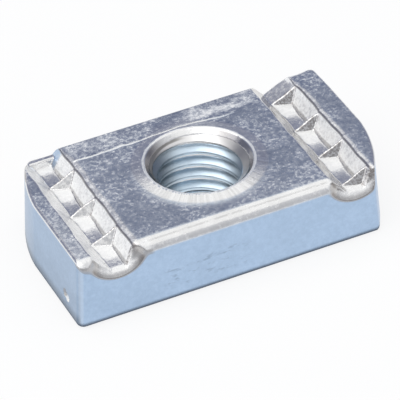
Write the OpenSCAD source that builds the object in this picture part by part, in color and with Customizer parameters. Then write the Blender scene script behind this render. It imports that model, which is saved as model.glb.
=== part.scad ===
// Channel nut: a forged and tapped clamping nut for lipped strut channel.
// Length runs along X, width along Y, and the tapped hole stands along Z.
// The origin is on the hole axis, in the plane of the flat underside.

/* [Body] */
// Length over the two ends at the underside, which lies across the channel
body_length = 35.6; // [31:0.2:44]
// Width over the two long sides, which passes the channel slot
body_width = 19.5; // [17:0.5:24]
// Height from the underside to the top face
body_height = 7.7; // [6.5:0.1:12]
// How far each end leans in between the underside and the top face
end_lean = 0.5; // [0.1:0.05:0.9]
// How far the turning radius of the two relieved corners stands past the ends
turn_relief = 0.06; // [0.03:0.01:0.4]
// Radius of the two upright corners that stop the turn
stop_corner_radius = 0.8; // [0.4:0.1:2.5]

/* [Edges] */
// Rounding along the two long top edges
top_side_radius = 1.45; // [0.5:0.05:2.2]
// Bevel along the top edges of the ends
top_end_bevel = 0.35; // [0.2:0.05:0.8]
// Rounding round the underside
bottom_radius = 0.6; // [0.3:0.05:1.2]
// Width of the strip between the crease on the top face and the back
strip_width = 3.65; // [2.5:0.05:4.5]
// Fall of that strip from the crease to the back
strip_fall = 0.2; // [0.05:0.05:0.4]

/* [Thread and hole] */
// Bore of the tapped hole at the crests of the thread
thread_bore = 8.5; // [6.5:0.1:10]
// Width of the top countersink, measured along the radius
top_sink = 1.25; // [0.6:0.05:1.6]
// Width of the underside countersink, measured along the radius
bottom_sink = 0.8; // [0.4:0.05:1.4]
// Width of the raised flank round the hole
lip_width = 1.35; // [0.6:0.05:1.8]
// Rise of the raised flank at the rim of the hole
lip_rise = 0.27; // [0.1:0.01:0.4]
// Width of the narrow flat between the raised flank and the countersink
rim_flat = 0.15; // [0.05:0.05:0.4]

/* [Grooves] */
// Width of the land between the groove at +X and the top edge of its end
right_land = 2.35; // [1.6:0.05:3.2]
// Width of the land between the groove at -X and the top edge of its end
left_land = 1.6; // [1.2:0.05:3.2]
// Width of each groove at the top face
groove_width = 4.95; // [4.4:0.05:5.6]
// Depth of each groove
groove_depth = 2.1; // [1.7:0.05:2.6]
// Sideways run of the -X wall of each groove
near_wall_run = 1.85; // [1.2:0.05:2.2]
// Sideways run of the +X wall of each groove below its shoulder
far_wall_run = 1.1; // [0.7:0.05:1.5]
// Width of the shoulder at the top of the +X wall
shoulder_width = 0.47; // [0.2:0.01:0.7]
// Drop of that shoulder
shoulder_drop = 0.2; // [0.1:0.01:0.3]
// Radius of the flared mouth of each groove at the front
mouth_radius = 3.6; // [3.2:0.1:4.2]
// Height of the axis of that mouth above the top face
mouth_rise = 0.8; // [0.6:0.1:1.1]
// How far the mouth reaches back from the front
mouth_reach = 1.05; // [0.6:0.05:1.4]
// Radius at which the mouth starts inside the groove
mouth_start = 2.2; // [1.8:0.05:2.4]

/* [Teeth] */
// Distance from tooth to tooth along a groove
tooth_pitch = 5.16; // [4.4:0.02:6.5]
// Height of each crest above the groove floor at its low end
crest_rise = 0.36; // [0.2:0.02:0.6]
// How far each crest stays below the top face at its high end
crest_drop = 0.26; // [0.16:0.02:0.5]
// Width of the narrow flat along each crest
crest_flat = 0.15; // [0.08:0.01:0.4]
// Slope of the front face of each tooth, from level
tooth_front_slope = 60; // [48:1:72]
// Slope of the back face of each tooth, from level
tooth_back_slope = 60; // [48:1:72]
// Rise of the sloping floor at the foot of each tooth
ramp_rise = 0.28; // [0.1:0.02:0.34]
// Length of that sloping floor along the groove
ramp_run = 2.75; // [1.8:0.05:3.2]
// Place along Y of one tooth in the groove at +X
right_tooth_place = 2.1; // [0.5:0.05:4]
// Place along Y of one tooth in the groove at -X
left_tooth_place = -0.05; // [-1.5:0.05:1.5]
// Fall of the long top of the last tooth at +X towards the back
tail_fall = 0.5; // [0.1:0.05:0.8]
// Height above the floor of the rib that closes the back of the groove at -X
rib_rise = 0.9; // [0.5:0.05:1.2]
// Thickness of that rib
rib_width = 0.7; // [0.4:0.05:1]

/* [Hidden] */
$fn = 96;
zinc = [0.66, 0.71, 0.78];
spare = 1;
half_length = body_length / 2;
half_width = body_width / 2;
half_top = half_length - end_lean;
turn_radius = half_length + turn_relief;
bore_radius = thread_bore / 2;
rim_radius = bore_radius + top_sink;
lip_radius = rim_radius + rim_flat + lip_width;
crease_y = half_width - strip_width;
strip_angle = atan2(strip_fall, strip_width);
right_x = half_top - right_land - groove_width;
left_x = left_land - half_top;
near_lean = near_wall_run / groove_depth;
far_lean = far_wall_run / (groove_depth - shoulder_drop);
shoulder_x = groove_width - shoulder_width;
shoulder_lean = shoulder_width / shoulder_drop;
mouth_flare = (mouth_radius - mouth_start) / mouth_reach;
crest_depth = groove_depth - crest_rise;
crest_low_x = near_lean * crest_depth;
crest_high_x = shoulder_x - far_lean * (crest_drop - shoulder_drop);
crest_climb = atan2(crest_depth - crest_drop, crest_high_x - crest_low_x);
tooth_length = 2 * groove_width;
tooth_root = 2 * groove_depth;
tooth_count = ceil(half_width / tooth_pitch) + 1;
right_last = floor((half_width - right_tooth_place) / tooth_pitch);
left_last = floor((half_width - left_tooth_place) / tooth_pitch);
tail_length = half_width - right_tooth_place - right_last * tooth_pitch;
ramp_tail = ramp_run / 8;
ramp_dip = ramp_rise / 8;

// Outline with its upper corners rounded by one radius and its lower corners by another
module edge_rounded(wide, high, upper, lower) {
    translate([upper - wide / 2, lower])
        square([wide - 2 * upper, high - lower]);
    translate([-wide / 2, lower])
        square([wide, high - upper - lower]);
    translate([lower - wide / 2, 0])
        square([wide - 2 * lower, high - upper]);
    for (side = [-1, 1]) {
        translate([side * (wide / 2 - upper), high - upper])
            circle(r = upper);
        translate([side * (wide / 2 - lower), lower])
            circle(r = lower);
    }
}

// Section through both ends, which lean in from the underside and are bevelled at the top
module end_outline(reach) {
    slant = end_lean / body_height;
    bevel_x = reach - end_lean + slant * top_end_bevel;
    intersection() {
        edge_rounded(2 * reach, body_height, top_end_bevel, bottom_radius);
        polygon([
            [reach + slant * spare, -spare],
            [bevel_x, body_height - top_end_bevel],
            [bevel_x - top_end_bevel - spare, body_height + spare],
            [top_end_bevel + spare - bevel_x, body_height + spare],
            [-bevel_x, body_height - top_end_bevel],
            [-reach - slant * spare, -spare]
        ]);
    }
}

// Bar with rounded long edges, drawn along X
module long_bar() {
    rotate([90, 0, 90])
        translate([0, 0, -half_length - spare])
            linear_extrude(body_length + 2 * spare)
                edge_rounded(body_width, body_height, top_side_radius, bottom_radius);
}

// Bar with leaning ends, drawn along Y
module cross_bar() {
    rotate([90, 0, 0])
        translate([0, 0, -half_width - spare])
            linear_extrude(body_width + 2 * spare)
                end_outline(half_length);
}

// Disc swept by the relieved corners when the nut is turned in the channel
module turn_disc() {
    rotate_extrude()
        intersection() {
            end_outline(turn_radius);
            translate([0, -spare])
                square([turn_radius + spare, body_height + 2 * spare]);
        }
}

// Quarter of the plan that keeps its upright corner, with that corner rounded
module stop_quarter() {
    linear_extrude(body_height) {
        square([half_length - stop_corner_radius, half_width]);
        square([half_length, half_width - stop_corner_radius]);
        translate([half_length - stop_corner_radius, half_width - stop_corner_radius])
            circle(r = stop_corner_radius);
    }
}

// Forged blank before the grooves and the hole
module blank() {
    intersection() {
        long_bar();
        cross_bar();
        union() {
            turn_disc();
            stop_quarter();
            rotate([0, 0, 180])
                stop_quarter();
        }
    }
}

// Thin wedge taken off the back strip of the top face, between the two grooves
module strip_cut() {
    translate([left_x + groove_width / 2, crease_y, body_height])
        rotate([-strip_angle, 0, 0])
            cube([right_x - left_x, half_width, body_height]);
}

// Ridge with a given profile that climbs across a groove from its -X wall to its +X wall
module climbing_ridge(top_length, top_fall) {
    translate([crest_low_x, 0, -crest_depth])
        rotate([0, -crest_climb, 0])
            rotate([90, 0, 90])
                translate([0, 0, -tooth_length / 2])
                    linear_extrude(2 * tooth_length)
                        polygon([
                            [0, 0],
                            [top_length, -top_fall],
                            [top_length + tooth_root / tan(tooth_back_slope), -tooth_root],
                            [-tooth_root / tan(tooth_front_slope), -tooth_root]
                        ]);
}

// Sloping floor in front of one tooth
module ramp() {
    rotate([90, 0, 90])
        translate([0, -groove_depth, -spare])
            linear_extrude(groove_width + 2 * spare)
                polygon([
                    [-ramp_run - ramp_tail, -ramp_dip],
                    [0, ramp_rise],
                    [2 * ramp_rise / tan(tooth_back_slope), -ramp_rise],
                    [-ramp_run - ramp_tail, -ramp_rise]
                ]);
}

// Space of one groove, less its teeth and ramps, from its -X edge at the top face
module toothed_groove(tooth_place, last_tooth, last_ramp) {
    difference() {
        rotate([90, 0, 0])
            translate([0, 0, -half_width - spare])
                linear_extrude(body_width + 2 * spare)
                    polygon([
                        [-spare * near_lean, spare],
                        [near_wall_run, -groove_depth],
                        [shoulder_x - far_wall_run, -groove_depth],
                        [shoulder_x, -shoulder_drop],
                        [groove_width + spare * shoulder_lean, spare]
                    ]);
        for (step = [-tooth_count : last_tooth])
            translate([0, tooth_place + step * tooth_pitch, 0])
                climbing_ridge(crest_flat, 0);
        for (step = [-tooth_count : last_ramp])
            translate([0, tooth_place + step * tooth_pitch, 0])
                ramp();
    }
}

// Groove at +X, whose last tooth keeps a long top that falls to the back
module right_groove() {
    difference() {
        toothed_groove(right_tooth_place, right_last - 1, right_last);
        translate([0, right_tooth_place + right_last * tooth_pitch, 0])
            climbing_ridge(tail_length + spare, tail_fall);
    }
}

// Groove at -X, closed at the back by a low rib
module left_groove() {
    difference() {
        toothed_groove(left_tooth_place, left_last, left_last + 1);
        translate([-spare, half_width - rib_width, -groove_depth - spare])
            cube([groove_width + 2 * spare, rib_width + 2 * spare, spare + rib_rise]);
    }
}

// Flared mouth of one groove at the front
module groove_mouth() {
    translate([groove_width / 2, mouth_reach - half_width, mouth_rise])
        rotate([90, 0, 0])
            cylinder(r1 = mouth_start, r2 = mouth_radius + spare * mouth_flare, h = mouth_reach + spare);
}

// Raised flank round the mouth of the hole
module hole_lip() {
    translate([0, 0, body_height - spare])
        cylinder(r = lip_radius, h = spare);
    translate([0, 0, body_height])
        cylinder(r1 = lip_radius, r2 = rim_radius + rim_flat, h = lip_rise);
}

// Tapping bore with a countersink at each mouth
module tapped_hole() {
    translate([0, 0, -spare])
        cylinder(r = bore_radius, h = body_height + 2 * spare);
    translate([0, 0, body_height + lip_rise - top_sink])
        cylinder(r1 = bore_radius, r2 = rim_radius + spare, h = top_sink + spare);
    translate([0, 0, -spare])
        cylinder(r1 = bore_radius + bottom_sink + spare, r2 = bore_radius, h = bottom_sink + spare);
}

// The whole nut, one forging
module channel_nut() {
    color(zinc)
        difference() {
            union() {
                difference() {
                    blank();
                    strip_cut();
                    translate([right_x, 0, body_height]) {
                        right_groove();
                        groove_mouth();
                    }
                    translate([left_x, 0, body_height]) {
                        left_groove();
                        groove_mouth();
                    }
                }
                hole_lip();
            }
            tapped_hole();
        }
}

channel_nut();
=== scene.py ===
import math
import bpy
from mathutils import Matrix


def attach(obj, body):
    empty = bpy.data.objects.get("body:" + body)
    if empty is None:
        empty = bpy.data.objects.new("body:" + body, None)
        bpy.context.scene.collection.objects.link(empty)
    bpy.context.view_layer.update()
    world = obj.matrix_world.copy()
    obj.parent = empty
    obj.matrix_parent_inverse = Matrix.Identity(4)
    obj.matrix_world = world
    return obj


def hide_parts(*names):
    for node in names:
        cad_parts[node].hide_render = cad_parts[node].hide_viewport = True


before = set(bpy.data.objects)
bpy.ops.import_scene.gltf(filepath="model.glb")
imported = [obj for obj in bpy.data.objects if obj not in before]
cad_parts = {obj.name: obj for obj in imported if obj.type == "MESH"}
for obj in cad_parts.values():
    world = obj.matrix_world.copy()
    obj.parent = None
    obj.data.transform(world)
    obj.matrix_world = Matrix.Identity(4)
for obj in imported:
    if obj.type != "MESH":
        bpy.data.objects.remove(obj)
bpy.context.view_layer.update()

from types import SimpleNamespace
import bpy
import numpy as np
from mathutils import Matrix, Vector

scene = bpy.context.scene
scene.view_settings.view_transform = "Standard"
mm = 0.001

# forged body, in millimetres
nut = {
    "length": 35.59, "width": 19.5, "height": 7.7,
    "lean": 0.5,                 # how far the ends lean in from the underside to the top
    "turnRadius": 17.85,         # relieved corners, about the hole axis
    "stopCorner": 0.8,           # the two upright corners that stop the turn
    "relievedEdge": 0.3,
    "topSide": 1.45, "topEnd": 0.35, "under": 0.6,     # rounded edges
    "edgeBlend": 2.4,            # stretch in which the side edge turns into the end edge
    "rightEdge": 10.0, "leftEdge": -15.7,              # -X edges of the two grooves
    "landEdge": 0.1,             # softness of the forged land edges
    "creaseY": 6.1, "creaseDrop": 0.055,               # the strip behind the crease falls to the back
    "endFallY": 5.4, "endFall": 0.075, "endFallSoft": 0.3,    # so does the right end land
}


def softMax(a, b, k):
    h = np.clip(0.5 + 0.5 * (a - b) / k, 0.0, 1.0)
    return b + (a - b) * h + k * h * (1.0 - h)


def roundCorner(a, b, r):
    u = np.maximum(a + r, 0.0)
    v = np.maximum(b + r, 0.0)
    return np.minimum(np.maximum(a, b), -r) + np.hypot(u, v)


def edgeProfile(side, z, upper, lower):
    top = roundCorner(side, z - nut["height"], upper)
    return np.maximum(top, roundCorner(side, -z, lower))


# toothed cross grooves
groove = {
    "width": 4.95, "depth": 2.1, "nearRun": 1.85, "farRun": 1.1,
    "shoulder": 0.47, "shoulderDrop": 0.2,
    "mouth": 3.6, "mouthRise": 0.8, "mouthReach": 1.05, "mouthStart": 2.2,
    "ribRise": 0.9, "ribWidth": 0.7,
    "floorSoft": 0.1, "mouthSoft": 0.3,
    "sway": 0.045,               # forged walls and teeth wander a little
    "wallWaves": [(0.0, 0.9, 0.6, 1.0), (0.5, 2.3, 2.0, 0.5)],    # turn per mm of X, of Y, start, share
    "toothWaves": [(2.6, 0.7, 0.0, 1.0)],
}

teeth = {
    "pitch": 5.16, "crestRise": 0.36, "crestDrop": 0.26, "flat": 0.15,
    "frontSlope": 60.0, "backSlope": 60.0,
    "rampRise": 0.28, "rampRun": 2.75,
    "reach": 1.2,                # how far a tooth goes on behind its crest
    "tailFall": 0.143,           # slope of the long top of the last tooth at +X
    "soft": 0.09,
    "right": {"place": 2.1, "first": -3, "lastTooth": 1, "lastRamp": 1, "tail": True},
    "left": {"place": -0.05, "first": -3, "lastTooth": 1, "lastRamp": 2, "tail": False},
}
farAway = 9.0                    # a distance well outside the nut


def farLean():
    return groove["farRun"] / (groove["depth"] - groove["shoulderDrop"])


def wander(x, y, waves):
    swings = (share * np.sin(perX * x + perY * y + start) for perX, perY, start, share in waves)
    return groove["sway"] * sum(swings)


def toothRow(u, y, t, row):
    k = teeth
    lowDepth = groove["depth"] - k["crestRise"]
    lowU = groove["nearRun"] / groove["depth"] * lowDepth
    highU = groove["width"] - groove["shoulder"] - farLean() * (k["crestDrop"] - groove["shoulderDrop"])
    climb = math.atan2(lowDepth - k["crestDrop"], highU - lowU)
    above = (t + lowDepth) * math.cos(climb) - (u - lowU) * math.sin(climb)
    front = math.radians(k["frontSlope"])
    back = math.radians(k["backSlope"])
    step = np.floor((y - row["place"] - k["reach"]) / k["pitch"]) + 1
    step = np.clip(step, row["first"], row["lastRamp"])
    w = y - row["place"] - step * k["pitch"]
    frontFace = above * math.cos(front) - w * math.sin(front)
    backFace = (w - k["flat"]) * math.sin(back) + above * math.cos(back)
    tooth = softMax(softMax(above, backFace, k["soft"]), frontFace, k["soft"])
    if row["tail"]:
        longTop = (above + w * k["tailFall"]) / math.hypot(1.0, k["tailFall"])
        tooth = np.where(step == row["lastRamp"], softMax(longTop, frontFace, k["soft"]), tooth)
    tooth = np.where(step <= row["lastTooth"], tooth, farAway)
    # the floor slopes up to the foot of every tooth
    rise = t + groove["depth"] - k["rampRise"]
    slope = k["rampRise"] / k["rampRun"]
    ramp = (rise - w * slope) / math.hypot(1.0, slope)
    return np.minimum(tooth, np.maximum(ramp, w * math.sin(back) + rise * math.cos(back)))


def rightRow(u, y, t):
    return toothRow(u, y, t, teeth["right"])


def leftRow(u, y, t):
    rib = np.maximum(nut["width"] / 2 - groove["ribWidth"] - y, t + groove["depth"] - groove["ribRise"])
    return np.minimum(toothRow(u, y, t, teeth["left"]), rib)


def grooveSpace(x, y, z, edge, row):
    g = groove
    u = x - edge + wander(x, y, g["wallWaves"])
    w = y + wander(x, y, g["toothWaves"])
    t = z - nut["height"]
    near = g["nearRun"] / g["depth"]
    far = farLean()
    brow = g["shoulder"] / g["shoulderDrop"]
    nearWall = (-t * near - u) / math.hypot(1.0, near)
    farWall = (u - g["width"] + g["shoulder"] - (t + g["shoulderDrop"]) * far) / math.hypot(1.0, far)
    shoulder = (u - g["width"] - t * brow) / math.hypot(1.0, brow)
    farWall = -softMax(-farWall, -shoulder, g["floorSoft"])
    space = softMax(nearWall, farWall, g["floorSoft"])
    space = softMax(space, -g["depth"] - t, g["floorSoft"])
    space = softMax(space, -row(u, w, t), g["floorSoft"])
    # the mouth flares out at the front
    flare = (g["mouth"] - g["mouthStart"]) / g["mouthReach"]
    inward = y + nut["width"] / 2 - g["mouthReach"]
    wide = np.hypot(u - g["width"] / 2, t - g["mouthRise"])
    cone = (wide - g["mouthStart"] + flare * inward) / math.hypot(1.0, flare)
    return -softMax(-space, -np.maximum(cone, inward), g["mouthSoft"])


# tapped hole with its raised lip and two countersinks
hole = {
    "bore": 4.95,                # roots of the thread, hidden by the thread turns
    "rim": 5.5, "rimFlat": 0.15,
    "lipWidth": 1.35, "lipRise": 0.27, "lipSoft": 0.1,
    "lipBeyond": 0.5, "lipBelow": 1.0,    # how far the lip runs on inside the body
    "underRim": 5.05,
    "edgeSoft": 0.06,
}
lipTop = nut["height"] + hole["lipRise"]

# small nick low on the left end, as centres and radius of two dents
nick = {"dents": [(-18.11, -6.2, 2.3), (-18.13, -6.8, 2.05)], "radius": 0.64}


def blank(x, y, z):
    lean = nut["lean"] * z / nut["height"]
    ySwing = np.where(x * y < 0, y, 0.0)
    end = np.maximum(np.abs(x) - nut["length"] / 2, np.hypot(x, ySwing) - nut["turnRadius"]) + lean
    side = np.abs(y) - nut["width"] / 2
    plan = roundCorner(end, side, np.where(x * y > 0, nut["stopCorner"], nut["relievedEdge"]))
    share = np.clip((end - side) / nut["edgeBlend"] + 0.5, 0.0, 1.0)
    share = share * share * (3.0 - 2.0 * share)
    return edgeProfile(plan, z, nut["topSide"] + (nut["topEnd"] - nut["topSide"]) * share, nut["under"])


def fallToBack(y, z, start, slope):
    return (z - nut["height"]) + np.maximum(y - start, 0.0) * slope


def lipAndHole(body, r, z):
    lipFoot = hole["rim"] + hole["rimFlat"] + hole["lipWidth"]
    slope = hole["lipRise"] / hole["lipWidth"]
    flank = (z - nut["height"] - (lipFoot - r) * slope) / math.hypot(1.0, slope)
    inBody = np.maximum(r - lipFoot - hole["lipBeyond"], nut["height"] - hole["lipBelow"] - z)
    lip = np.maximum(np.maximum(flank, z - lipTop), inBody)
    body = -softMax(-body, -lip, hole["lipSoft"])
    sink = (r - (hole["rim"] - (lipTop - z))) / math.sqrt(2.0)
    underSink = (r - (hole["underRim"] - z)) / math.sqrt(2.0)
    opening = np.minimum(np.minimum(r - hole["bore"], sink), underSink)
    return softMax(body, -opening, hole["edgeSoft"])


def nutField(x, y, z):
    body = blank(x, y, z)
    pastLeft = x > nut["leftEdge"] + groove["width"] / 2
    pastRight = x > nut["rightEdge"] + groove["width"] / 2
    strip = fallToBack(y, z, nut["creaseY"], nut["creaseDrop"])
    body = np.where(pastLeft & ~pastRight, np.maximum(body, strip), body)
    endLand = fallToBack(y, z, nut["endFallY"], nut["endFall"])
    body = np.where(pastRight, softMax(body, endLand, nut["endFallSoft"]), body)
    for edge, row in ((nut["rightEdge"], rightRow), (nut["leftEdge"], leftRow)):
        body = softMax(body, -grooveSpace(x, y, z, edge, row), nut["landEdge"])
    body = lipAndHole(body, np.hypot(x, y), z)
    for dx, dy, dz in nick["dents"]:
        dent = np.sqrt((x - dx) ** 2 + (y - dy) ** 2 + (z - dz) ** 2) - nick["radius"]
        body = np.maximum(body, -dent)
    return body


# grid that the skin of the nut is drawn on: its zones, the steps in them and the pull to the true surface
skin = {
    "margin": 0.4, "leftGroove": -9.4, "hole": 7.2, "rightGroove": 8.7,
    "low": -0.35, "nickLow": 1.1, "nickHigh": 3.1, "grooveLow": 4.4, "high": 8.3,
    "endStep": 0.145, "middleStep": 0.32, "holeStep": 0.205,
    "widthStep": 0.16,
    "topStep": 0.11, "sideStep": 0.45, "nickStep": 0.22, "underStep": 0.18,
    "pulls": 4, "pullShare": 0.8, "probe": 0.004, "leastSlope": 0.2,
}


def stepLine(marks):
    line = [marks[0][0]]
    for start, stop, step in marks:
        n = max(1, int(round((stop - start) / step)))
        line += [start + (stop - start) * (i + 1) / n for i in range(n)]
    return np.array(line)


def skinGrid():
    g = skin
    half = nut["length"] / 2 + g["margin"]
    deep = nut["width"] / 2 + g["margin"]
    xs = stepLine([(-half, g["leftGroove"], g["endStep"]), (g["leftGroove"], -g["hole"], g["middleStep"]),
                   (-g["hole"], g["hole"], g["holeStep"]), (g["hole"], g["rightGroove"], g["middleStep"]),
                   (g["rightGroove"], half, g["endStep"])])
    ys = stepLine([(-deep, deep, g["widthStep"])])
    zs = stepLine([(g["low"], g["nickLow"], g["underStep"]), (g["nickLow"], g["nickHigh"], g["nickStep"]),
                   (g["nickHigh"], g["grooveLow"], g["sideStep"]), (g["grooveLow"], g["high"], g["topStep"])])
    return xs, ys, zs


def crossings(value, grid, cells, corners):
    # mean of the points where the surface cuts the edges of a cell
    xs, ys, zs = grid
    total = np.zeros((len(cells), 3))
    hits = np.zeros(len(cells))
    edges = [(a, b) for a in corners for b in corners
             if sum(b) - sum(a) == 1 and all(q >= p for p, q in zip(a, b))]
    for a, b in edges:
        ia = cells + np.array(a)
        ib = cells + np.array(b)
        va = value[ia[:, 0], ia[:, 1], ia[:, 2]]
        vb = value[ib[:, 0], ib[:, 1], ib[:, 2]]
        cut = (va < 0) != (vb < 0)
        t = np.where(cut, va / np.where(va == vb, 1.0, va - vb), 0.0)[:, None]
        pa = np.stack([xs[ia[:, 0]], ys[ia[:, 1]], zs[ia[:, 2]]], 1)
        pb = np.stack([xs[ib[:, 0]], ys[ib[:, 1]], zs[ib[:, 2]]], 1)
        total += np.where(cut[:, None], pa + (pb - pa) * t, 0.0)
        hits += cut
    return total / hits[:, None]


def pullToSurface(points, field, low, high):
    e = skin["probe"]
    for _ in range(skin["pulls"]):
        px, py, pz = points.T
        d = field(px, py, pz)
        g = np.stack([field(px + e, py, pz) - field(px - e, py, pz),
                      field(px, py + e, pz) - field(px, py - e, pz),
                      field(px, py, pz + e) - field(px, py, pz - e)], 1) / (2 * e)
        g2 = np.maximum((g * g).sum(1), skin["leastSlope"])
        points = np.clip(points - skin["pullShare"] * (d / g2)[:, None] * g, low, high)
    return points


def skinFaces(inside, ids):
    faces = []
    for axis in range(3):
        a = [slice(None)] * 3
        b = [slice(None)] * 3
        a[axis] = slice(0, -1)
        b[axis] = slice(1, None)
        idx = np.argwhere(inside[tuple(a)] != inside[tuple(b)])
        across = [k for k in range(3) if k != axis]
        for k in across:
            idx = idx[(idx[:, k] > 0) & (idx[:, k] < inside.shape[k] - 1)]
        one, two = (np.eye(3, dtype=int)[k] for k in across)
        ring = [idx - one - two, idx - two, idx, idx - one]
        quad = np.stack([ids[r[:, 0], r[:, 1], r[:, 2]] for r in ring], 1)
        flip = ~inside[idx[:, 0], idx[:, 1], idx[:, 2]]
        if axis == 1:
            flip = ~flip
        quad[flip] = quad[flip][:, ::-1]
        faces.append(quad)
    return np.concatenate(faces)


def smoothMesh(name, points, faces):
    mesh = bpy.data.meshes.new(name)
    mesh.from_pydata(points, [], faces)
    mesh.polygons.foreach_set("use_smooth", np.ones(len(mesh.polygons), bool))
    mesh.update()
    return mesh


def skinMesh(name, field, grid):
    xs, ys, zs = grid
    value = field(*np.meshgrid(xs, ys, zs, indexing="ij"))
    inside = value < 0
    corners = [(a, b, c) for a in (0, 1) for b in (0, 1) for c in (0, 1)]
    nx, ny, nz = inside.shape
    count = sum(inside[a:nx - 1 + a, b:ny - 1 + b, c:nz - 1 + c].astype(np.int8) for a, b, c in corners)
    live = (count > 0) & (count < 8)
    ids = -np.ones(live.shape, dtype=np.int64)
    ids[live] = np.arange(int(live.sum()))
    cells = np.argwhere(live)
    low = np.stack([xs[cells[:, 0]], ys[cells[:, 1]], zs[cells[:, 2]]], 1)
    high = np.stack([xs[cells[:, 0] + 1], ys[cells[:, 1] + 1], zs[cells[:, 2] + 1]], 1)
    points = pullToSurface(crossings(value, grid, cells, corners), field, low, high)
    return smoothMesh(name, (points * mm).tolist(), skinFaces(inside, ids).tolist())


def addPiece(name, mesh, material):
    piece = bpy.data.objects.new(name, mesh)
    bpy.context.collection.objects.link(piece)
    mesh.materials.append(material)
    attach(piece, "root")
    return piece


# nodes that both zinc finishes are put together from
class FinishNodes:
    def __init__(self, name):
        self.material = bpy.data.materials.new(name)
        self.material.use_nodes = True
        self.nodes = self.material.node_tree.nodes
        self.links = self.material.node_tree.links
        self.shader = self.nodes["Principled BSDF"]
        self.spot = self.nodes.new("ShaderNodeTexCoord").outputs["Object"]
        inMm = self.vector("SCALE", self.spot)
        inMm.inputs["Scale"].default_value = 1.0 / mm
        self.place = inMm.outputs["Vector"]
        self.x, self.y, self.z = self.split(self.place)

    def put(self, value, socket):
        if isinstance(value, tuple):
            socket.default_value = (*value, 1.0)
        elif isinstance(value, float):
            socket.default_value = value
        else:
            self.links.new(value, socket)

    def vector(self, operation, source):
        node = self.nodes.new("ShaderNodeVectorMath")
        node.operation = operation
        self.links.new(source, node.inputs[0])
        return node

    def split(self, source):
        node = self.nodes.new("ShaderNodeSeparateXYZ")
        self.links.new(source, node.inputs[0])
        return [node.outputs[k] for k in "XYZ"]

    def number(self, operation, *values):
        node = self.nodes.new("ShaderNodeMath")
        node.operation = operation
        node.use_clamp = operation == "ADD"
        for value, socket in zip(values, node.inputs):
            self.put(value, socket)
        return node.outputs[0]

    def times(self, first, *others):
        for value in others:
            first = self.number("MULTIPLY", first, value)
        return first

    def add(self, first, *others):
        for value in others:
            first = self.number("ADD", first, value)
        return first

    def size(self, source):
        return self.number("ABSOLUTE", source)

    def ramp(self, source, span, low=0.0, high=1.0):
        node = self.nodes.new("ShaderNodeMapRange")
        node.interpolation_type = "SMOOTHSTEP"
        keys = ("Value", "From Min", "From Max", "To Min", "To Max")
        for key, value in zip(keys, (source, *span, low, high)):
            self.put(value, node.inputs[key])
        return node.outputs["Result"]

    def drop(self, source, span):
        return self.ramp(source, span, 1.0, 0.0)

    def band(self, source, span):    # rises between the first two places, falls between the last two
        return self.times(self.ramp(source, span[:2]), self.drop(source, span[2:]))

    def mix(self, share, a, b):
        node = self.nodes.new("ShaderNodeMix")
        for value, k in zip((share, a, b), (0, 2, 3)):
            self.put(value, node.inputs[k])
        return node.outputs[0]

    def blend(self, share, a, b, kind="MIX"):    # the same for colours
        node = self.nodes.new("ShaderNodeMix")
        node.data_type = "RGBA"
        node.blend_type = kind
        for value, k in zip((share, a, b), (0, 6, 7)):
            self.put(value, node.inputs[k])
        return node.outputs[2]

    def noise(self, scale, detail, roughness, source=None):
        node = self.nodes.new("ShaderNodeTexNoise")
        for key, value in (("Scale", scale), ("Detail", detail), ("Roughness", roughness)):
            node.inputs[key].default_value = value
        self.links.new(source or self.spot, node.inputs["Vector"])
        return node.outputs["Fac"]

    def bump(self, height, strength, distance, under=None):
        node = self.nodes.new("ShaderNodeBump")
        node.inputs["Strength"].default_value = strength
        node.inputs["Distance"].default_value = distance
        self.links.new(height, node.inputs["Height"])
        if under:
            self.links.new(under, node.inputs["Normal"])
        return node.outputs["Normal"]


# finish of the zinc plate
zinc = {
    "sideColor": (0.445, 0.585, 0.78), "sideRough": 0.3,
    "plateColor": (0.90, 0.90, 0.90), "plateRough": 0.16,
    "landColor": (0.57, 0.63, 0.72), "landRough": 0.2,
    "frostAndHighlight": (0.93, 0.93, 0.92),     # dull white grains in the plating, also used for painted highlights
    "frostOn": {"slope": 0.8, "mouth": 0.6, "brow": 0.3, "ridge": 0.75, "rim": 0.55,
                "toothFront": (0.6, 0.1)},
    "grain": 2300.0, "speck": 4600.0, "cloud": 330.0,    # fineness of the noises in the plating
    "relief": 0.00003, "reliefStrength": 0.6,            # height of the grains, in metres
    "rubbed": (0.10, 0.13, 0.18), "rubbedRough": 0.7,    # painted shade along the bottom edge, dark and rough
    "shade": (0.34, 0.32, 0.31),     # painted shade in the grooves, at their mouths and in the countersink
    "shadeOn": {"foot": 0.5, "browLine": 0.8, "nearWall": 0.5, "sunkRight": 0.75, "steep": (0.2, 0.85),
                "crest": (0.7, 0.22), "crestEdge": 0.8, "mouthRim": 0.5, "mouthSide": 0.6},
    "creaseHigh": 0.00006,           # in metres
    "creaseWide": 0.17, "creaseSwing": 1.2, "creaseWave": 260.0,
    "scuff": 2400.0, "scratch": 0.22,    # fineness and darkness of the scuffs on the front
    "streak": 11.0,                  # tool streaks on the near lip of the hole
    "dent": 0.8, "dentEdge": (-0.02, 0.03),    # strength and soft edge of the two marks in the nick, a painted shade and a painted highlight
    "stopCorner": 0.15,              # painted highlight on the stop corners
}

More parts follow.
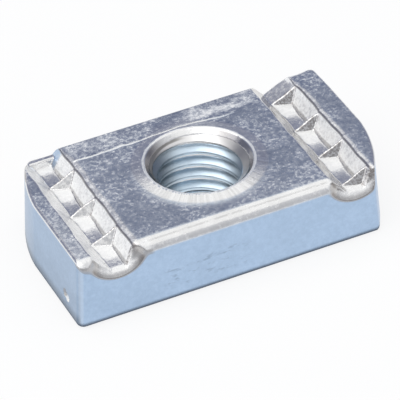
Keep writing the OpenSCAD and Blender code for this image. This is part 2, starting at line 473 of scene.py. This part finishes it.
# where its parts lie, in millimetres: the start and the end of each soft change, depths from the top face
places = {
    "landDepth": (0.34, 0.24), "sideY": (9.3, 9.55), "endRadius": (16.8, 17.1), "rubbedZ": (0.34, 0.85),
    "leftToRight": (-9.0, 9.0), "groove": (8.8, 9.4, 16.2, 16.6), "backEndY": (7.9, 8.5),
    "pitDepth": (0.9, 0.5), "footDepth": (1.82, 1.62), "browDepth": (0.42, 0.3), "crestDepth": (0.36, 0.28),
    "toothY": (-8.5, -8.3), "tailY": (7.3, 7.6), "behindMouthY": (-9.25, -9.1),
    "mouthY": (-8.5, -8.9), "mouthX": (9.2, 9.8),
    "mouthRimY": (-9.3, -9.6), "mouthRimX": (8.6, 9.2), "mouthRimDepth": (1.2, 0.9),
    "sunkRadius": (5.34, 5.44), "sunkLeft": (-1.0, -4.0), "sunkRight": (2.6, 4.4),
    "turnedRadius": (5.6, 5.75), "rimRadius": (5.42, 5.5, 5.66, 5.76),
    "lipRadius": (5.6, 5.75, 6.8, 7.6), "lipY": (0.0, -3.5),
    "leftEndZ": (2.0, 5.5), "leftFootZ": (0.6, 1.9),
    "scuffX": (-11.0, -7.0, -1.0, 2.0), "scuffZ": (1.0, 2.2, 3.8, 5.2),
    "creaseX": (-11.2, -10.8, 3.0, 7.5),
    "paleEndX": (-15.2, -15.6), "paleEndY": (2.0, -5.0),
    "stripY": (6.3, 6.9), "stripEndX": (9.0, 10.0), "stripLeftX": (-4.0, -7.0), "stripRightX": (-1.5, 3.0),
}

# how they are tilted: the start and the end of a soft change in one part of the normal
tilts = {
    "level": (0.985, 0.996), "nearLevel": (0.9, 0.95), "upright": (0.2, 0.42), "down": (-0.4, -0.7),
    "toLeft": (-0.4, -0.7), "toRight": (0.4, 0.7), "wallUp": (0.25, 0.4),
    "browLeft": (-0.2, -0.3), "browUp": (0.8, 0.86), "rimUp": (0.5, 0.7),
    "slopeFront": (-0.05, -0.09), "slopeUp": (0.975, 0.985),
    "toothFront": (-0.55, -0.75), "toothUp": (0.25, 0.35), "steepFront": (-0.6, -0.75),
    "edgeFront": (-0.15, -0.3), "edgeLeft": (-0.15, -0.25),
    "mouthUp": (0.4, 0.55), "mouthSideUp": (0.1, 0.2, 0.35, 0.55), "mouthRimUp": (0.3, 0.4),
    "notDown": (-0.9, -0.75), "leftEnd": (-0.6, -0.9), "front": (-0.7, -0.95),
    "lineUp": (0.85, 0.88, 0.91, 0.94), "lineFront": (-0.28, -0.36), "stopCorner": (0.3, 0.48),
}


def zAt(depths):
    return tuple(nut["height"] - d for d in depths)


def sinkSides(n):
    # painted shade: the countersink is darker at both sides
    right = n.ramp(n.x, places["sunkRight"], 0.0, zinc["shadeOn"]["sunkRight"])
    return n.add(n.ramp(n.x, places["sunkLeft"]), right)


# in these functions n makes the nodes and m holds the zones found so far
def bodyZones(n, m):
    # level lands keep the dark forged skin, upright sides a blue satin, the rest is bright plate
    m.high = n.ramp(n.z, zAt(places["landDepth"]))
    m.land = n.times(m.high, n.ramp(m.nz, tilts["level"]))
    outside = n.add(n.ramp(n.size(n.y), places["sideY"]), n.ramp(m.radius, places["endRadius"]))
    m.upright = n.add(n.times(outside, n.drop(m.nz, tilts["upright"])), n.ramp(m.nz, tilts["down"]))
    m.leftEnd = n.ramp(m.nx, tilts["leftEnd"])
    # painted shade: a dark band low along the bottom edge
    m.rubbed = n.times(n.drop(n.z, places["rubbedZ"]), n.ramp(m.nz, tilts["notDown"]))
    m.stopCorner = n.times(m.upright, zinc["stopCorner"], n.ramp(n.times(m.nx, m.ny), tilts["stopCorner"]))


def holeZones(n, m):
    m.turned = n.drop(m.radius, places["turnedRadius"])
    m.rim = n.times(n.band(m.radius, places["rimRadius"]), n.ramp(m.nz, tilts["rimUp"]))
    m.lip = n.times(n.band(m.radius, places["lipRadius"]), n.ramp(n.y, places["lipY"]))
    m.sunkSides = n.times(n.drop(m.radius, places["sunkRadius"]), sinkSides(n))


def grooveZones(n, m):
    m.inGroove = n.band(n.size(n.x), places["groove"])
    atLeft = n.drop(n.x, places["leftToRight"])
    m.farWall = n.times(n.ramp(m.nx, tilts["toLeft"]), n.ramp(m.nz, tilts["wallUp"]), m.inGroove)
    m.nearWall = n.times(n.ramp(m.nx, tilts["toRight"]), n.ramp(m.nz, tilts["wallUp"]), m.inGroove)
    m.backEnd = n.times(m.farWall, atLeft, n.ramp(n.y, places["backEndY"]))
    m.wall = n.times(n.add(m.farWall, n.times(m.nearWall, atLeft)), n.mix(m.backEnd, 1.0, 0.1))
    m.brow = n.times(n.ramp(m.nx, tilts["browLeft"]), n.ramp(m.nz, tilts["browUp"]), m.inGroove)
    m.slope = n.times(n.ramp(m.ny, tilts["slopeFront"]), n.ramp(m.nz, tilts["slopeUp"]),
                      n.drop(n.z, zAt(places["pitDepth"])))
    # painted light: tooth fronts get more white frost in the left groove than in the right
    front = n.times(n.ramp(m.ny, tilts["toothFront"]), n.ramp(m.nz, tilts["toothUp"]))
    front = n.times(front, n.ramp(n.x, places["leftToRight"], *zinc["frostOn"]["toothFront"]))
    m.toothFront = n.times(front, n.ramp(n.y, places["toothY"]), n.ramp(m.grain, (0.35, 0.65), 0.4, 1.3))
    lowLip = n.times(n.ramp(n.y, places["mouthY"]), n.ramp(n.size(n.x), places["mouthX"]))
    m.mouth = n.times(lowLip, n.ramp(m.nz, tilts["mouthUp"]))
    m.mouthSide = n.times(lowLip, n.band(m.nz, tilts["mouthSideUp"]))


# painted shade: dark foot and brow lines on the far walls, the near walls, the countersink sides, the teeth
# and the mouth rims
def paintedShadeSpots(n, m):
    on = zinc["shadeOn"]
    foot = n.times(m.farWall, n.drop(n.z, zAt(places["footDepth"])), on["foot"])
    browLine = n.times(m.farWall, n.ramp(n.z, zAt(places["browDepth"])), on["browLine"])
    nearWall = n.times(m.nearWall, n.ramp(n.x, places["leftToRight"], 0.0, on["nearWall"]))
    # painted shade, broken up by speckle, on the tooth fronts and crests, the fronts more so in the right
    # groove
    steep = n.times(n.ramp(m.ny, tilts["steepFront"]), n.ramp(m.nz, tilts["toothUp"]))
    steep = n.times(steep, n.ramp(n.x, places["leftToRight"], *on["steep"]))
    crest = n.times(m.brow, n.drop(n.z, zAt(places["crestDepth"])))
    crest = n.times(crest, n.ramp(n.y, places["tailY"], *on["crest"]))
    edge = n.times(n.ramp(m.ny, tilts["edgeFront"]), n.ramp(m.ny, tilts["steepFront"], on["crestEdge"], 0.0))
    edge = n.times(edge, n.ramp(m.nx, tilts["edgeLeft"]))
    hatch = n.times(n.add(steep, crest, edge), m.inGroove, n.ramp(n.y, places["behindMouthY"]))
    hatch = n.times(hatch, n.ramp(m.speck, (0.4, 0.58), 0.3, 1.0))
    rim = n.times(n.ramp(n.y, places["mouthRimY"]), n.ramp(n.size(n.x), places["mouthRimX"]))
    rim = n.times(rim, n.ramp(m.nz, tilts["mouthRimUp"]), n.drop(n.z, zAt(places["mouthRimDepth"])))
    return n.add(foot, browLine, nearWall, m.sunkSides, hatch, n.times(rim, on["mouthRim"]))


def creaseLine(n, m):
    # painted highlight along the crease, a fine bright line, a little wavy; it also drives a small bump
    swing = zinc["creaseSwing"]
    line = n.number("MULTIPLY_ADD", n.noise(zinc["creaseWave"], 2.0, 0.5), swing, nut["creaseY"] - swing / 2)
    gap = n.size(n.number("SUBTRACT", n.y, line))
    ridge = n.times(n.drop(gap, (0.0, zinc["creaseWide"])), m.high, n.ramp(m.nz, tilts["nearLevel"]))
    return n.times(ridge, n.band(n.x, places["creaseX"]))


def satinTone(n, m):
    tone = n.times(n.ramp(m.cloud, (0.3, 0.7), 0.95, 1.0), n.ramp(m.grain, (0.3, 0.7), 0.94, 1.03))
    # painted shade: the left end darkens towards its foot, most along its lower edge
    tone = n.times(tone, n.mix(m.leftEnd, 1.0, n.ramp(n.z, places["leftEndZ"], 0.77, 0.86)))
    tone = n.times(tone, n.mix(m.leftEnd, 1.0, n.ramp(n.z, places["leftFootZ"], 0.5, 1.0)))
    # scuffs on the front run along the length
    stretch = n.nodes.new("ShaderNodeMapping")
    stretch.inputs["Scale"].default_value = (0.35, 1.0, 1.0)
    n.links.new(n.spot, stretch.inputs["Vector"])
    scuff = n.ramp(n.noise(zinc["scuff"], 4.0, 0.65, stretch.outputs[0]), (0.5, 0.7))
    patch = n.times(n.band(n.x, places["scuffX"]), n.band(n.z, places["scuffZ"]))
    patch = n.times(patch, n.ramp(m.ny, tilts["front"]))
    return n.times(tone, n.ramp(n.times(scuff, patch), (0.0, 1.0), 1.0, 1.0 - zinc["scratch"]))


def plateTone(n, m):
    # tool streaks round the lip of the hole, and a thin line of painted shade along the front edge
    around = n.vector("NORMALIZE", m.flat).outputs["Vector"]
    streak = n.ramp(n.noise(zinc["streak"], 4.0, 0.75, around), (0.36, 0.62), 0.82, 1.0)
    line = n.times(n.band(m.nz, tilts["lineUp"]), n.ramp(m.ny, tilts["lineFront"]))
    line = n.times(line, n.ramp(m.grain, (0.35, 0.6)))
    plate = n.times(n.ramp(m.cloud, (0.34, 0.66), 0.9, 1.0), n.mix(line, 1.0, 0.7))
    return n.mix(m.lip, plate, streak)


def frostShare(n, m):
    # grains scatter the light and read as white speckle
    on = zinc["frostOn"]
    speckle = n.add(n.ramp(m.grain, (0.34, 0.70), 0.05, 0.55), n.times(n.ramp(m.speck, (0.6, 0.74)), 0.3))
    speckle = n.times(speckle, n.ramp(m.cloud, (0.34, 0.66), 0.65, 1.2))
    paleEnd = n.times(n.ramp(n.x, places["paleEndX"]), n.ramp(n.y, places["paleEndY"], 0.0, 0.25))
    paleStrip = n.times(n.ramp(n.y, places["stripY"]), n.ramp(m.cloud, (0.35, 0.65), 0.06, 0.52))
    along = n.add(n.ramp(n.x, places["stripLeftX"], 0.2, 0.5), n.ramp(n.x, places["stripRightX"], 0.0, 0.8))
    paleStrip = n.times(paleStrip, n.drop(n.x, places["stripEndX"]), along)
    share = n.times(n.ramp(m.grain, (0.44, 0.70)), n.ramp(m.cloud, (0.3, 0.7), 0.36, 0.6))
    share = n.mix(m.land, share, n.add(speckle, paleEnd, paleStrip))
    share = n.times(share, n.mix(m.upright, 1.0, 0.05), n.mix(m.lip, 1.0, 0.6))
    share = n.add(share, n.times(m.wall, n.ramp(m.grain, (0.3, 0.7), 0.6, 0.95)), m.toothFront)
    share = n.add(share, n.times(m.slope, on["slope"]), n.times(m.mouth, on["mouth"]))
    # the painted highlight along the crease is whitened here
    share = n.add(share, n.times(m.brow, on["brow"]), n.times(m.ridge, on["ridge"]))
    share = n.times(share, n.mix(m.rubbed, 1.0, 0.0), n.mix(m.turned, 1.0, 0.15), n.mix(m.dark, 1.0, 0.1))
    return n.add(share, n.times(m.rim, on["rim"]))


def dentMark(n, spot):
    apart = n.vector("DISTANCE", n.place)
    apart.inputs[1].default_value = spot
    edge = tuple(nick["radius"] + d for d in zinc["dentEdge"])
    return n.times(n.drop(apart.outputs["Value"], edge), zinc["dent"])


def zincMaterial(name):
    n = FinishNodes(name)
    m = SimpleNamespace()
    m.grain = n.noise(zinc["grain"], 5.0, 0.68)
    m.speck = n.noise(zinc["speck"], 3.0, 0.6)
    m.cloud = n.noise(zinc["cloud"], 3.0, 0.55)
    m.nx, m.ny, m.nz = n.split(n.nodes.new("ShaderNodeNewGeometry").outputs["Normal"])
    flat = n.nodes.new("ShaderNodeCombineXYZ")
    n.links.new(n.x, flat.inputs[0])
    n.links.new(n.y, flat.inputs[1])
    m.flat = flat.outputs[0]
    m.radius = n.vector("LENGTH", m.flat).outputs["Value"]
    for zones in (bodyZones, holeZones, grooveZones):
        zones(n, m)
    m.dark = paintedShadeSpots(n, m)
    m.ridge = creaseLine(n, m)
    frosty = frostShare(n, m)

    color = n.blend(n.add(m.upright, m.backEnd), zinc["plateColor"], zinc["sideColor"])
    color = n.blend(m.land, color, zinc["landColor"])
    color = n.blend(1.0, color, n.mix(m.upright, plateTone(n, m), satinTone(n, m)), "MULTIPLY")
    color = n.blend(frosty, color, zinc["frostAndHighlight"])
    # painted shade in one dent of the nick and a painted highlight in the other
    for spot, tone in zip(nick["dents"], ("shade", "frostAndHighlight")):
        color = n.blend(dentMark(n, spot), color, zinc[tone])
    # painted highlight on the stop corners
    color = n.blend(m.stopCorner, color, zinc["plateColor"])
    # painted shade on the sides of the groove mouths, added to the rest of the painted shade
    spots = n.add(n.times(m.mouthSide, zinc["shadeOn"]["mouthSide"]), m.dark)
    color = n.blend(spots, color, zinc["shade"])
    # painted shade along the bottom edge goes over everything
    n.put(n.blend(m.rubbed, color, zinc["rubbed"]), n.shader.inputs["Base Color"])
    metal = n.times(n.ramp(frosty, (0.0, 1.0), 1.0, 0.1), n.mix(m.rubbed, 1.0, 0.1))
    n.put(metal, n.shader.inputs["Metallic"])
    rough = n.mix(m.land, n.mix(m.upright, zinc["plateRough"], zinc["sideRough"]), zinc["landRough"])
    n.put(n.mix(m.rubbed, rough, zinc["rubbedRough"]), n.shader.inputs["Roughness"])
    grainBump = n.bump(m.grain, zinc["reliefStrength"], zinc["relief"])
    n.put(n.bump(m.ridge, 1.0, zinc["creaseHigh"], grainBump), n.shader.inputs["Normal"])
    return n.material


print("zinc plate")
zincPlate = zincMaterial("zinc_plate")

print("nut body")
body = addPiece("nut_body", skinMesh("nut_body", nutField, skinGrid()), zincPlate)
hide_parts("channel_nut")
print("nut body faces", len(body.data.polygons))

# turns of the tapped thread
thread = {
    "pitch": 1.5, "crest": 4.22, "root": 4.96, "crestFlat": 0.19, "rootFlat": 0.12, "lead": 0.02,
    "back": 5.2,                 # outside of the turns, hidden in the body
    "wall": 0.05, "behind": 0.03,    # least wall of the turns, and how far they stay behind the countersinks
    "low": 0.12, "belowTop": 0.1,    # lower and upper end of the turns
    "around": 160, "perTurn": 22,
    "color": (0.66, 0.78, 0.88), "rough": 0.36, "cloud": 900.0, "tones": (0.85, 1.2),
    "sides": 0.45, "leftX": (0.5, -2.8), "rightX": (3.4, 4.4),    # painted shade: both sides are darker than the middle
    "sink": (0.88, 0.87, 0.86), "sinkShade": (0.30, 0.29, 0.28), "sinkEdge": 0.12,
    # painted shade: thin dark band high in the countersink
    "bandDepth": (0.26, 0.14), "bandX": (1.0, -0.6), "bandShade": 0.9,
    "relief": 0.00004, "reliefStrength": 0.15,
}


def threadRadius(z, turn):
    t = thread
    flank = (1.0 - t["crestFlat"] - t["rootFlat"]) / 2
    p = (z / t["pitch"] - turn - t["lead"]) % 1.0
    marks = [0.0, t["rootFlat"], t["rootFlat"] + flank, t["rootFlat"] + flank + t["crestFlat"], 1.0]
    r = np.interp(p, marks, [t["root"], t["root"], t["crest"], t["crest"], t["root"]])
    sink = max(hole["rim"] - (lipTop - z), hole["underRim"] - z) + t["behind"]
    return min(max(r, sink), t["back"] - t["wall"])


def threadMesh(name):
    t = thread
    low, high = t["low"], lipTop - (hole["rim"] - t["back"]) - t["belowTop"]
    rows = int((high - low) / t["pitch"] * t["perTurn"])
    n = t["around"]

    def ring(z, radii):
        turns = [2 * math.pi * i / n for i in range(n)]
        return [(r * math.cos(a) * mm, r * math.sin(a) * mm, z * mm) for r, a in zip(radii, turns)]

    points = []
    for k in range(rows + 1):
        z = low + (high - low) * k / rows
        points += ring(z, [threadRadius(z, i / n) for i in range(n)])
    base = len(points)
    points += ring(low, [t["back"]] * n) + ring(high, [t["back"]] * n)
    last = rows * n
    faces = []
    for k in range(rows):
        for i in range(n):
            j = (i + 1) % n
            faces.append((k * n + i, (k + 1) * n + i, (k + 1) * n + j, k * n + j))
    for i in range(n):
        j = (i + 1) % n
        faces += [(base + i, base + j, base + n + j, base + n + i), (i, j, base + j, base + i),
                  (last + j, last + i, base + n + i, base + n + j)]
    return smoothMesh(name, points, faces)


def threadMaterial(name):
    t = thread
    n = FinishNodes(name)
    cloud = n.noise(t["cloud"], 4.0, 0.5)
    darker, brighter, sideShadeColor = (tuple(f * c for c in t["color"]) for f in (*t["tones"], t["sides"]))
    sides = n.add(n.ramp(n.x, t["leftX"]), n.ramp(n.x, t["rightX"]))
    turnsColor = n.blend(sides, n.blend(cloud, darker, brighter), sideShadeColor)
    # above the first turn lies the bright countersink, with painted shade as in the body
    sinkFoot = lipTop - hole["rim"] + t["crest"]
    sinkTop = lipTop - hole["rim"] + hole["bore"]
    bandZ = tuple(sinkTop - d for d in t["bandDepth"])
    band = n.times(n.ramp(n.z, bandZ), n.ramp(n.x, t["bandX"]), t["bandShade"])
    sinkColor = n.blend(n.add(sinkSides(n), band), t["sink"], t["sinkShade"])
    color = n.blend(n.ramp(n.z, (sinkFoot, sinkFoot + t["sinkEdge"])), turnsColor, sinkColor)
    n.put(color, n.shader.inputs["Base Color"])
    n.shader.inputs["Metallic"].default_value = 1.0
    n.shader.inputs["Roughness"].default_value = t["rough"]
    n.put(n.bump(cloud, t["reliefStrength"], t["relief"]), n.shader.inputs["Normal"])
    return n.material


print("thread turns")
turns = addPiece("thread_turns", threadMesh("thread_turns"), threadMaterial("thread_zinc"))

print("floor and light")
studio = {
    "floorColor": (0.95, 0.95, 0.95), "floorRough": 0.9, "floorShine": 0.1,
    "floorSize": 1.6, "floorGlow": 0.84,
    "softBox": 1.8, "softBoxSize": 0.75, "softBoxSpot": (-0.36, -0.06, 0.5),
    "domeTurn": 0.35,            # how softly the front of the dome turns into its back
    # height of each stop (sine of the elevation), colour behind the nut, colour in front of it
    "dome": [(0.0, (0.80, 0.82, 0.86), (0.66, 0.67, 0.70)),
             (0.12, (0.66, 0.69, 0.76), (0.53, 0.54, 0.57)),
             (0.26, (0.23, 0.25, 0.34), (0.52, 0.53, 0.56)),
             (0.65, (0.22, 0.24, 0.33), (0.62, 0.63, 0.66)),
             (0.74, (1.0, 1.0, 1.0), (1.0, 1.0, 1.0)),
             (1.0, (1.0, 1.0, 1.0), (1.0, 1.0, 1.0))],
}


def floorMaterial():
    mat = bpy.data.materials.new("pale_floor")
    mat.use_nodes = True
    nodes, links = mat.node_tree.nodes, mat.node_tree.links
    shader = nodes["Principled BSDF"]
    shader.inputs["Base Color"].default_value = (*studio["floorColor"], 1.0)
    shader.inputs["Roughness"].default_value = studio["floorRough"]
    shader.inputs["Specular IOR Level"].default_value = studio["floorShine"]
    # the paper glows a little for the camera and in reflections, and keeps a soft shadow
    path = nodes.new("ShaderNodeLightPath")
    seen = nodes.new("ShaderNodeMath")
    seen.operation = "ADD"
    links.new(path.outputs["Is Camera Ray"], seen.inputs[0])
    links.new(path.outputs["Is Glossy Ray"], seen.inputs[1])
    also = nodes.new("ShaderNodeMath")
    also.operation = "ADD"
    also.use_clamp = True
    links.new(seen.outputs[0], also.inputs[0])
    links.new(path.outputs["Is Transmission Ray"], also.inputs[1])
    share = nodes.new("ShaderNodeMath")
    share.operation = "MULTIPLY"
    links.new(also.outputs[0], share.inputs[0])
    share.inputs[1].default_value = studio["floorGlow"]
    glow = nodes.new("ShaderNodeEmission")
    glow.inputs["Strength"].default_value = 1.0
    both = nodes.new("ShaderNodeMixShader")
    links.new(share.outputs[0], both.inputs[0])
    links.new(shader.outputs[0], both.inputs[1])
    links.new(glow.outputs[0], both.inputs[2])
    links.new(both.outputs[0], nodes["Material Output"].inputs["Surface"])
    return mat


reach = studio["floorSize"] / 2
floorMesh = bpy.data.meshes.new("floor")
floorMesh.from_pydata([(-reach, -reach, 0), (reach, -reach, 0), (reach, reach, 0), (-reach, reach, 0)],
                      [], [(0, 1, 2, 3)])
floorMesh.materials.append(floorMaterial())
floor = bpy.data.objects.new("floor", floorMesh)
bpy.context.collection.objects.link(floor)


def studioWorld():
    world = bpy.data.worlds.new("studio")
    scene.world = world
    world.use_nodes = True
    nodes, links = world.node_tree.nodes, world.node_tree.links
    way = nodes.new("ShaderNodeTexCoord")
    split = nodes.new("ShaderNodeSeparateXYZ")
    links.new(way.outputs["Generated"], split.inputs[0])
    halves = []
    for column in (1, 2):
        tall = nodes.new("ShaderNodeValToRGB")
        tall.color_ramp.interpolation = "EASE"
        for k, stop in enumerate(studio["dome"]):
            mark = tall.color_ramp.elements[k] if k < 2 else tall.color_ramp.elements.new(stop[0])
            mark.position = stop[0]
            mark.color = (*stop[column], 1.0)
        links.new(split.outputs["Z"], tall.inputs[0])
        halves.append(tall.outputs[0])
    turn = nodes.new("ShaderNodeMapRange")
    turn.interpolation_type = "SMOOTHSTEP"
    turn.inputs["From Min"].default_value = -studio["domeTurn"]
    turn.inputs["From Max"].default_value = studio["domeTurn"]
    links.new(split.outputs["Y"], turn.inputs["Value"])
    join = nodes.new("ShaderNodeMix")
    join.data_type = "RGBA"
    links.new(turn.outputs["Result"], join.inputs[0])
    links.new(halves[1], join.inputs[6])
    links.new(halves[0], join.inputs[7])
    links.new(join.outputs[2], nodes["Background"].inputs["Color"])


studioWorld()
lampData = bpy.data.lights.new("soft_box", "AREA")
lampData.energy = studio["softBox"]
lampData.size = studio["softBoxSize"]
lamp = bpy.data.objects.new("soft_box", lampData)
lamp.location = studio["softBoxSpot"]
lamp.rotation_euler = (Vector((0, 0, 0)) - lamp.location).to_track_quat("-Z", "Y").to_euler()
bpy.context.collection.objects.link(lamp)

print("camera")
shot = {
    "focalPixels": 3371.93, "distance": 335.69, "azimuth": -23.535, "elevation": 37.273,
    "roll": -3.093, "target": (0.0, 0.0, 4.7), "slide": (-0.055, -1.418), "frame": 400,
    "sensor": 36.0, "nearest": 0.01, "farthest": 20.0,
}


def placeCamera():
    a, e, r = (math.radians(shot[k]) for k in ("azimuth", "elevation", "roll"))
    back = Vector((math.sin(a) * math.cos(e), -math.cos(a) * math.cos(e), math.sin(e)))
    flat = Vector((math.cos(a), math.sin(a), 0.0))
    rise = back.cross(flat)
    right = flat * math.cos(r) + rise * math.sin(r)
    up = rise * math.cos(r) - flat * math.sin(r)
    spot = Vector(shot["target"]) + right * shot["slide"][0] + up * shot["slide"][1] + back * shot["distance"]
    camData = bpy.data.cameras.new("camera")
    camData.sensor_width = shot["sensor"]
    camData.lens = shot["focalPixels"] / shot["frame"] * camData.sensor_width
    camData.clip_start = shot["nearest"]
    camData.clip_end = shot["farthest"]
    cam = bpy.data.objects.new("camera", camData)
    cam.matrix_world = Matrix.Translation(spot * mm) @ Matrix((right, up, back)).transposed().to_4x4()
    bpy.context.collection.objects.link(cam)
    scene.camera = cam


placeCamera()
